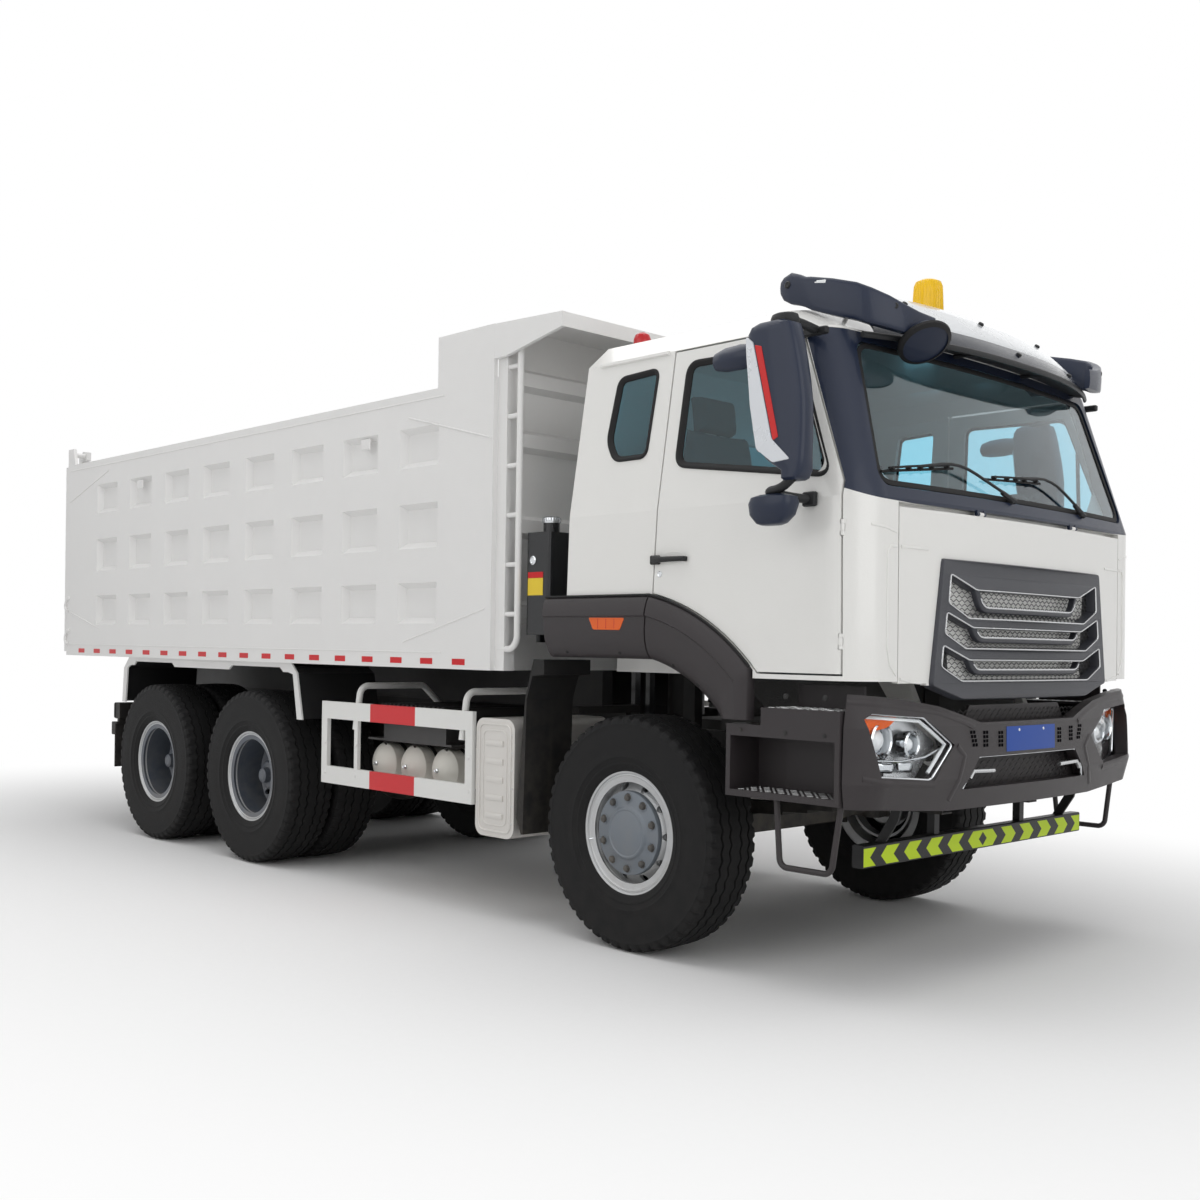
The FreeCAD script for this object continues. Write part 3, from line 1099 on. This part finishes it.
def silencer_box(side):
    """Boxed silencer, or on the other side the additive tank, behind the arch."""
    body = rounded(box(-1105.0, -790.0, 520.0, 1190.0, 440.0, 1060.0), 60.0, "y")
    strap = box(-1085.0, -800.0, RAIL_Y, 530.0, 760.0, 900.0)
    return on_side(fused([body, strap]), side)


def air_tanks():
    """Three air bottles lying across the truck below the battery box."""
    solids = []
    for x in (-2150.0, -1860.0, -1560.0):
        bottle = cross_rod(x, 735.0, -1040.0, -500.0, 118.0)
        dome = Part.makeSphere(150.0, vec(x, -952.0, 735.0)).common(
            box(x - 200.0, x + 200.0, -1200.0, -1040.0, 500.0, 1000.0))
        dome = dome.common(cross_rod(x, 735.0, -1200.0, -1000.0, 118.0))
        strap = cross_rod(x, 735.0, -700.0, -650.0, 122.0)
        hanger = box(x - 20.0, x + 20.0, -700.0, -650.0, 850.0, 872.0)
        solids.append(fused([bottle, dome, strap, hanger]))
    shelf = box(-2260.0, -1450.0, -1090.0, -RAIL_Y, 872.0, 884.0)
    battery = box(-2100.0, -1500.0, -1090.0, -500.0, 884.0, 1030.0)
    cover = rounded(box(-2115.0, -1485.0, -1105.0, -485.0, 1030.0, 1085.0), 18.0, "z")
    ribs = [box(-2115.0 + 42.0 * k, -2095.0 + 42.0 * k, -1105.0, -485.0, 1084.0, 1092.0)
            for k in range(15)]
    solids.append(fused([shelf, battery, cover] + ribs))
    return solids


def side_guard(side):
    """Lateral guard: two rails between posts, and the bent hangers behind."""
    y0, y1 = 1180.0, 1206.0
    frame_box = box(-2590.0, -1120.0, y0, y1, 594.0, 1089.0)
    window = box(-2530.0, -1180.0, y0 - 5.0, y1 + 5.0, 698.0, 985.0)
    outline = frame_box.cut(window)
    post = box(-2240.0, -2205.0, y0 + 2.0, y1 - 2.0, 690.0, 990.0)
    pieces = [outline, post]
    for x in (-2250.0, -1230.0):
        pieces.append(bent_tube([(x, y0 + 8.0, 930.0), (x, y0 - 25.0, 1190.0),
                                 (x, 700.0, 1190.0), (x, 470.0, 985.0),
                                 (x, RAIL_Y - 4.0, 985.0)], 60.0, 19.0))
    return on_side(fused(pieces), side)


def flaps():
    """Rubber flaps behind the front wheels and behind the last wheels."""
    solids = []
    for side, _ in SIDES:
        front = side_prism([(-560.0, 1375.0), (-640.0, 1375.0), (-700.0, 1180.0),
                            (-760.0, 560.0), (-720.0, 480.0), (-706.0, 480.0),
                            (-690.0, 1170.0), (-648.0, 1290.0), (-560.0, 1300.0)],
                           880.0, 1200.0)
        bracket = box(-700.0, -640.0, RAIL_Y, 882.0, 1090.0, 1130.0)
        post = box(-700.0, -640.0, RAIL_Y, RAIL_Y + 12.0, 960.0, 1100.0)
        solids.append(on_side(fused([front, bracket, post]), side))
        rear = box(-5500.0, -5488.0, 650.0, 1210.0, 470.0, 800.0)
        hanger = box(-5500.0, -5470.0, 640.0, 1210.0, 798.0, 812.0)
        solids.append(on_side(fused([rear, hanger]), side))
    return solids


def rear_bar():
    """Rear under-run bar, its drop arms and the tail-lamp carriers."""
    bar = rounded(box(-5690.0, -5590.0, -1150.0, 1150.0, 705.0, 805.0), 14.0, "y")
    pieces = [bar]
    for side, _ in SIDES:
        pieces.append(box(-5660.0, -5610.0, side * 360.0, side * 418.0, 795.0, 830.0))
        pieces.append(box(-5500.0, -5470.0, side * RAIL_Y, side * 1190.0, 812.0, 838.0))
        pieces.append(box(-5595.0, -5465.0, side * 600.0, side * 640.0, 770.0, 835.0))
        pieces.append(rounded(box(-5520.0, -5440.0, side * 900.0, side * 1200.0,
                                  838.0, 960.0), 12.0, "y"))
        pieces.append(box(-5660.0, -5610.0, side * 400.0, side * RAIL_Y, 720.0, 830.0))
    return fused(pieces)


def hydraulic_tank():
    """Oil tank standing on two outrigger bearers from the frame, behind the cab."""
    x0, x1 = OIL_TANK_REAR, OIL_TANK_REAR + OIL_TANK_LEN
    y1 = -OIL_TANK_OUT + OIL_TANK_WIDTH
    tank = rounded(box(x0, x1, -OIL_TANK_OUT, y1, OIL_TANK_LOW, OIL_TANK_HIGH), 20.0, "z")
    stand = []
    for x in (x0 + 20.0, x1 - 50.0):
        stand.append(box(x, x + 30.0, -OIL_TANK_OUT + 60.0, -RAIL_Y + 45.0,
                         OIL_TANK_LOW - 38.0, OIL_TANK_LOW + 2.0))
        stand.append(box(x, x + 30.0, -RAIL_Y + 5.0, -RAIL_Y + 45.0,
                         RAIL_TOP - 2.0, OIL_TANK_LOW + 2.0))
    cap = rod((x0 + 70.0, -OIL_TANK_OUT + 110.0, OIL_TANK_HIGH - 5.0),
              (x0 + 70.0, -OIL_TANK_OUT + 110.0, OIL_TANK_HIGH + 55.0), 42.0)
    return fused([tank, cap] + stand)


# ---- tipping body ----------------------------------------------------------


def pocket(x0, z0, z1, side):
    """Pressed recess in the side sheet, its lips sloping inwards."""
    wires = []
    for y, shrink in ((HALF_WIDTH + 4.0, -4.0), (HALF_WIDTH - POCKET_DEPTH, 26.0)):
        corners = [vec(x0 + shrink, side * y, z0 + shrink * 1.3),
                   vec(x0 + POCKET_W - shrink, side * y, z0 + shrink * 1.3),
                   vec(x0 + POCKET_W - shrink, side * y, z1 - shrink),
                   vec(x0 + shrink, side * y, z1 - shrink)]
        wires.append(Part.makePolygon(corners + [corners[0]]))
    return Part.makeLoft(wires, True, True)


def bed_side(side):
    outline = [(BED_REAR, BED_BOTTOM), (BED_REAR, BED_TOP + 130.0), (BED_REAR + 100.0, BED_TOP + 130.0),
               (BED_REAR + 130.0, BED_TOP), (BED_FRONT - HEAD_LEN, BED_TOP),
               (BED_FRONT - HEAD_LEN, HEAD_TOP), (BED_FRONT, HEAD_TOP), (BED_FRONT, BED_BOTTOM)]
    wall = side_prism(outline, side * (HALF_WIDTH - BED_WALL), side * HALF_WIDTH)
    head_thin = box(BED_REAR - 1.0, BED_FRONT + 1.0, side * (HALF_WIDTH - BED_WALL - 1.0),
                    side * (HALF_WIDTH - 24.0), BED_TOP + 1.0, HEAD_TOP + 1.0)
    wall = wall.cut(head_thin)
    cuts = [cross_rod(GATE_HINGE_X, GATE_HINGE_Z, side * (HALF_WIDTH - BED_WALL - 1.0),
                      side * (HALF_WIDTH - GATE_PIN_END + 0.5), GATE_PIN_R + RUN_FIT)]
    for column in range(POCKET_COLUMNS):
        for z0, z1 in POCKET_ROWS:
            cuts.append(pocket(POCKET_FIRST + column * POCKET_PITCH, z0, z1, side))
    return wall.cut(cuts)


def hoist_recess(grow, bottom):
    """Wedge in the body's front wall that the tilted hoist leans into."""
    back = BED_FRONT - grow / math.cos(RECESS_LEAN)
    foot = back - (RECESS_TOP - bottom) * math.tan(RECESS_LEAN)
    mouth = BED_FRONT + 80.0
    if grow > 0.0:
        mouth = BED_FRONT - 4.0
    half = RECESS_HALF + grow
    return side_prism([(mouth, bottom), (mouth, RECESS_TOP + 60.0 + grow),
                       (BED_FRONT - 4.0, RECESS_TOP + grow), (back, RECESS_TOP), (foot, bottom)],
                      -half, half)


def bed_floor():
    """Floor plate on cross bearers and two sills, with the tipping ears."""
    half = HALF_WIDTH - BED_WALL
    plate = box(BED_REAR, BED_FRONT, -half, half, BED_FLOOR_TOP - 8.0, BED_FLOOR_TOP)
    pieces = [plate]
    count = 14
    for index in range(count):
        x = BED_REAR + 60.0 + index * (BED_FRONT - BED_REAR - 180.0) / (count - 1)
        pieces.append(box(x, x + 60.0, -half, half, BED_BOTTOM, BED_FLOOR_TOP - 7.0))
    for side, _ in SIDES:
        y0 = RAIL_Y - RAIL_FLANGE
        y1 = RAIL_Y
        sill_low = RAIL_TOP + SUBFRAME_H + 0.5
        pieces.append(box(HINGE_X + 130.0, BED_FRONT - 10.0, side * y0, side * y1,
                          sill_low, BED_BOTTOM + 1.0))
        pieces.append(box(BED_REAR + 60.0, HINGE_X + 131.0, side * y0, side * y1,
                          HINGE_Z + 130.0, BED_BOTTOM + 1.0))
        for a, b in ((y0 - 30.0, y0 - 1.0), (y1 + 1.0, y1 + 30.0)):
            ear = side_prism([(HINGE_X - 70.0, HINGE_Z), (HINGE_X - 110.0, BED_BOTTOM + 1.0),
                              (HINGE_X + 240.0, BED_BOTTOM + 1.0), (HINGE_X + 70.0, HINGE_Z)],
                             side * a, side * b)
            pieces.append(ear)
            pieces.append(cross_rod(HINGE_X, HINGE_Z, side * a, side * b, 70.0))
        pieces.append(cross_rod(HINGE_X, HINGE_Z, side * (y0 - 45.0), side * (y1 + 45.0),
                                HINGE_PIN_R))
    low = BED_BOTTOM - 20.0
    return fused(pieces).cut([hoist_recess(RECESS_T, low), hoist_recess(0.0, low)])


def bed_front():
    """Front wall with stiffening ribs, hoist recess and bracket, canopy and ladder."""
    half = HALF_WIDTH - BED_WALL
    wall = box(BED_FRONT - 8.0, BED_FRONT, -half, half, BED_BOTTOM, HEAD_TOP - 2.0)
    pieces = [wall]
    for z in (1560.0, 2010.0, 2460.0, 2780.0):
        pieces.append(side_prism([(BED_FRONT - 1.0, z), (BED_FRONT + 50.0, z + 25.0),
                                  (BED_FRONT + 50.0, z + 95.0), (BED_FRONT - 1.0, z + 120.0)],
                                 -half, half))
    for side, _ in SIDES:
        pieces.append(box(BED_FRONT - 1.0, BED_FRONT + 75.0, side * (HALF_WIDTH - 100.0),
                          side * (HALF_WIDTH - 30.0), BED_BOTTOM, 2930.0))
        cheek = side_prism([(BED_FRONT - 6.0, HEAD_TOP - 2.0), (CANOPY_FRONT, HEAD_TOP - 22.0),
                            (CANOPY_FRONT, 3015.0), (-845.0, 2928.0), (BED_FRONT - 6.0, 2928.0)],
                           side * (HALF_WIDTH - 22.0), side * HALF_WIDTH)
        cheek = cheek.common(box(BED_FRONT + 0.0, 0.0, -1300.0, 1300.0, 2000.0, 3200.0))
        pieces.append(cheek)
        pieces.append(box(BED_FRONT - 1.0, BED_FRONT + 30.0, side * (half - 1.0),
                          side * (HALF_WIDTH - 20.0), 2928.0, HEAD_TOP - 4.0))
        bracket = side_prism([(BED_FRONT - 1.0, HOIST_EYE_Z - 190.0),
                              (HOIST_X + 62.0, HOIST_EYE_Z - 60.0),
                              (HOIST_X + 62.0, HOIST_EYE_Z + 60.0),
                              (BED_FRONT - 1.0, HOIST_EYE_Z + 190.0)],
                             side * (HOIST_R + 30.0), side * (HOIST_R + 55.0))
        pieces.append(bracket)
        pieces.append(cross_rod(HOIST_X, HOIST_EYE_Z, side * (HOIST_R + 10.0),
                                side * (HOIST_R + 54.0), HOIST_PIN_R))
    roof = side_prism([(BED_FRONT - 1.0, HEAD_TOP - 3.0), (CANOPY_FRONT, HEAD_TOP - 23.0),
                       (CANOPY_FRONT, HEAD_TOP - 29.0), (BED_FRONT - 1.0, HEAD_TOP - 9.0)],
                      -HALF_WIDTH + 1.0, HALF_WIDTH - 1.0)
    lip = box(CANOPY_FRONT - 8.0, CANOPY_FRONT, -HALF_WIDTH + 1.0, HALF_WIDTH - 1.0,
              3015.0, HEAD_TOP - 23.0)
    pieces += [roof, lip]
    pieces.append(ladder())
    pieces.append(hoist_recess(RECESS_T, BED_BOTTOM))
    return fused(pieces).cut(hoist_recess(0.0, BED_BOTTOM - 20.0))


def ladder():
    """Tube ladder on the right front corner post."""
    y = -(HALF_WIDTH - 46.0)
    x_out = BED_FRONT + 160.0
    z0, z1 = 1425.0, 3030.0
    rail = bent_tube([(BED_FRONT + 10.0, y, z0), (x_out, y, z0), (x_out, y, z1),
                      (BED_FRONT - 0.0, y, z1 - 0.0)], 70.0, 17.0)
    rungs = []
    for index in range(6):
        z = z0 + 180.0 + index * 255.0
        rungs.append(rod((BED_FRONT + 60.0, y, z), (x_out, y, z), 13.0))
    return fused([rail] + rungs)


def mudguards():
    """White skirts hung under the body over the rear wheels, with black wells."""
    solids = []
    top = BED_BOTTOM
    low = BED_BOTTOM - 58.0
    for side, _ in SIDES:
        outline = [(-5234.0, top), (-2925.0, top), (-2858.0, top - 60.0), (-2790.0, 962.0),
                   (-2850.0, 962.0), (-2905.0, top - 70.0), (-2960.0, low), (-3020.0, low),
                   (-3062.0, low + 30.0), (-3677.0, low + 30.0), (-3720.0, low),
                   (-4498.0, low), (-4540.0, low + 30.0), (-5118.0, low + 30.0),
                   (-5150.0, low), (-5210.0, low), (-5262.0, top - 80.0), (-5290.0, 975.0),
                   (-5345.0, 975.0), (-5320.0, top - 80.0)]
        skirt = side_prism(outline, side * (HALF_WIDTH - 36.0), side * (HALF_WIDTH - 24.0))
        sheet_low = top - 30.0
        roof = box(-5230.0, -2930.0, side * 640.0, side * (HALF_WIDTH - 30.0),
                   sheet_low, sheet_low + 8.0)
        front = side_prism([(-2936.0, top - 24.0), (-2868.0, top - 64.0), (-2800.0, 966.0),
                            (-2810.0, 966.0), (-2878.0, top - 74.0), (-2944.0, top - 30.0)],
                           side * 640.0, side * (HALF_WIDTH - 30.0))
        rear = side_prism([(-5226.0, top - 24.0), (-5310.0, top - 82.0), (-5335.0, 980.0),
                           (-5325.0, 980.0), (-5300.0, top - 84.0), (-5222.0, top - 30.0)],
                          side * 640.0, side * (HALF_WIDTH - 30.0))
        solids.append(fused([skirt, roof, front, rear]))
    return solids


def tailgate():
    """Top-hung tailgate with stiffeners and hinge arms."""
    half = HALF_WIDTH - 12.0
    x1 = BED_REAR - 8.0
    x0 = x1 - GATE_T
    sheet = box(x1 - 10.0, x1, -half, half, BED_BOTTOM + 30.0, BED_TOP - 6.0)
    pieces = [sheet]
    for z in (BED_BOTTOM + 30.0, 1700.0, 2080.0, 2460.0, BED_TOP - 106.0):
        pieces.append(box(x0, x1 - 9.0, -half, half, z, z + 100.0))
    for index in range(7):
        y = -half + index * (2.0 * half - 90.0) / 6.0
        pieces.append(box(x0, x1 - 9.0, y, y + 90.0, BED_BOTTOM + 30.0, BED_TOP - 6.0))
    for side, _ in SIDES:
        y0 = HALF_WIDTH - BED_WALL - 60.0
        y1 = HALF_WIDTH - BED_WALL - 24.0
        arm = side_prism([(x1, BED_TOP - 200.0), (x0, BED_TOP - 200.0), (x0, GATE_HINGE_Z),
                          (GATE_HINGE_X - 30.0, GATE_HINGE_Z + 40.0),
                          (GATE_HINGE_X + 40.0, GATE_HINGE_Z + 30.0),
                          (GATE_HINGE_X + 40.0, GATE_HINGE_Z - 34.0),
                          (x1, GATE_HINGE_Z - 46.0)], side * y0, side * y1)
        pieces.append(arm)
        pieces.append(cross_rod(GATE_HINGE_X, GATE_HINGE_Z, side * y0,
                                side * (HALF_WIDTH - GATE_PIN_END), GATE_PIN_R))
    return fused(pieces)


# ---- hoist -----------------------------------------------------------------
def hoist_stage(index):
    """Stage 0 is the barrel; the last stage carries the eye."""
    outer = HOIST_R - index * (HOIST_STAGE_WALL + SLIDE_FIT)
    last = index == 3
    inner = outer - HOIST_STAGE_WALL
    low = HOIST_FOOT_Z + 120.0 + index * 14.0
    high = HOIST_EYE_Z - 130.0 + index * 22.0
    body = rod((HOIST_X, 0, low), (HOIST_X, 0, high), outer)
    if not last:
        hollow = rod((HOIST_X, 0, low + 12.0), (HOIST_X, 0, high + 1.0), inner)
        body = body.cut(hollow)
    if index == 0:
        foot = rod((HOIST_X, 0, HOIST_FOOT_Z - 10.0), (HOIST_X, 0, low + 5.0), 70.0)
        eye = cross_rod(HOIST_X, HOIST_FOOT_Z, -70.0, 70.0, 58.0)
        pin = cross_rod(HOIST_X, HOIST_FOOT_Z, -186.0, 186.0, HOIST_PIN_R)
        collar = pipe((HOIST_X, 0, high - 60.0), (HOIST_X, 0, high), outer + 8.0, outer - 2.0)
        return fused([body, foot, eye, pin, collar])
    if last:
        neck = rod((HOIST_X, 0, high - 5.0), (HOIST_X, 0, HOIST_EYE_Z), 40.0)
        eye = cross_rod(HOIST_X, HOIST_EYE_Z, -60.0, 60.0, 56.0)
        bore = cross_rod(HOIST_X, HOIST_EYE_Z, -70.0, 70.0, HOIST_PIN_R + 1.0)
        return fused([body, neck, eye]).cut(bore)
    return body


# Which nodes are notched to sit on, in or round a neighbour of the same body.
SEATED = [
    ("axles", "chassis_frame"), ("axles", "leaf_springs"), ("bed_floor", "bed_front"),
    ("bed_front", "bed_sides"), ("cab_interior", "cab_shell"), ("engine_block", "chassis_frame"),
    ("front_guard_bar", "chassis_frame"), ("hydraulic_tank", "chassis_frame"),
    ("leaf_springs", "chassis_frame"), ("rear_bar", "chassis_frame"),
    ("side_guards", "chassis_frame"), ("side_guards", "fuel_tank"), ("step_wells", "headlamps"),
    ("mudflaps", "hydraulic_tank"), ("hydraulic_tank", "silencer_boxes"), ("sun_visor", "cab_shell"),
]


def notched(shapes, neighbours):
    """The shapes with the room of their neighbours cut away, without loose chips."""
    solids = []
    for shape in shapes:
        for other in neighbours:
            if shape.BoundBox.intersect(other.BoundBox) and shape.common(other).Volume > 1.0:
                shape = shape.cut(other)
        largest = max(solid.Volume for solid in shape.Solids)
        solids.extend(s for s in shape.Solids if s.Volume > CHIP_SHARE * largest)
    return solids


def main():
    os.makedirs("parts", exist_ok=True)
    parts = {}
    parts["chassis_frame"] = frame() + [hoist_cradle()]
    parts["engine_block"] = engine()
    parts["axles"] = [front_axle(), drive_axle(FIRST_DRIVE_X), drive_axle(SECOND_DRIVE_X)] + shafts()
    parts["leaf_springs"] = springs()
    parts["bumper"] = [bumper()]
    parts["headlamps"] = headlamps()
    parts["step_wells"] = [step_well(side) for side, _ in SIDES]
    parts["front_guard_bar"] = [guard_bar()]
    parts["fuel_tank"] = [fuel_tank()]
    parts["silencer_boxes"] = [silencer_box(side) for side, _ in SIDES]
    parts["air_tanks"] = air_tanks()
    parts["side_guards"] = [side_guard(side) for side, _ in SIDES]
    parts["mudflaps"] = flaps()
    parts["rear_bar"] = [rear_bar()]
    parts["hydraulic_tank"] = [hydraulic_tank()]

    cab = cab_parts()
    parts["cab_shell"] = [cab["shell"]] + notched(cab_underside(), [cab["shell"]])
    parts["screen_surround"] = [cab["surround"]]
    parts["cab_glass"] = cab["glass"]
    parts["wheel_arches"] = arches()
    parts["sun_visor"] = [sun_visor()]
    parts["cab_lamps"] = cab_lamps()
    parts["cab_interior"] = interior()
    panel, grille = flap_parts()
    parts["front_flap"] = [panel]
    parts["grille"] = [grille]
    for side, name in SIDES:
        parts["door_" + name] = [cab["door_" + name]]
        parts["door_glass_" + name] = [cab["door_glass_" + name]]
        parts["mirrors_" + name] = [mirror_set(side)]
        parts["knuckle_" + name] = [knuckle(side)]
        parts["tyre_front_" + name] = [tyre(0.0, side * FRONT_TYRE_Y)]
        parts["wheel_front_" + name] = [front_wheel(side)]
        for station, x in (("mid", FIRST_DRIVE_X), ("rear", SECOND_DRIVE_X)):
            parts["tyres_%s_%s" % (station, name)] = [
                tyre(x, side * (REAR_TYRE_Y + half))
                for half in (-TWIN_SPACING / 2.0, TWIN_SPACING / 2.0)]
            parts["wheels_%s_%s" % (station, name)] = [twin_wheel(x, side)]
    parts["tie_rod"] = [tie_rod()]
    parts["bed_floor"] = [bed_floor()]
    parts["bed_sides"] = [bed_side(side) for side, _ in SIDES]
    parts["bed_front"] = [bed_front()]
    parts["bed_mudguards"] = mudguards()
    parts["tailgate"] = [tailgate()]
    for index, node in enumerate(("hoist_barrel", "hoist_stage_1", "hoist_stage_2", "hoist_rod")):
        parts[node] = [hoist_stage(index)]

    for node, neighbour in SEATED:
        parts[node] = notched(parts[node], parts[neighbour])
    for node, shapes in parts.items():
        export(node, shapes)


main()
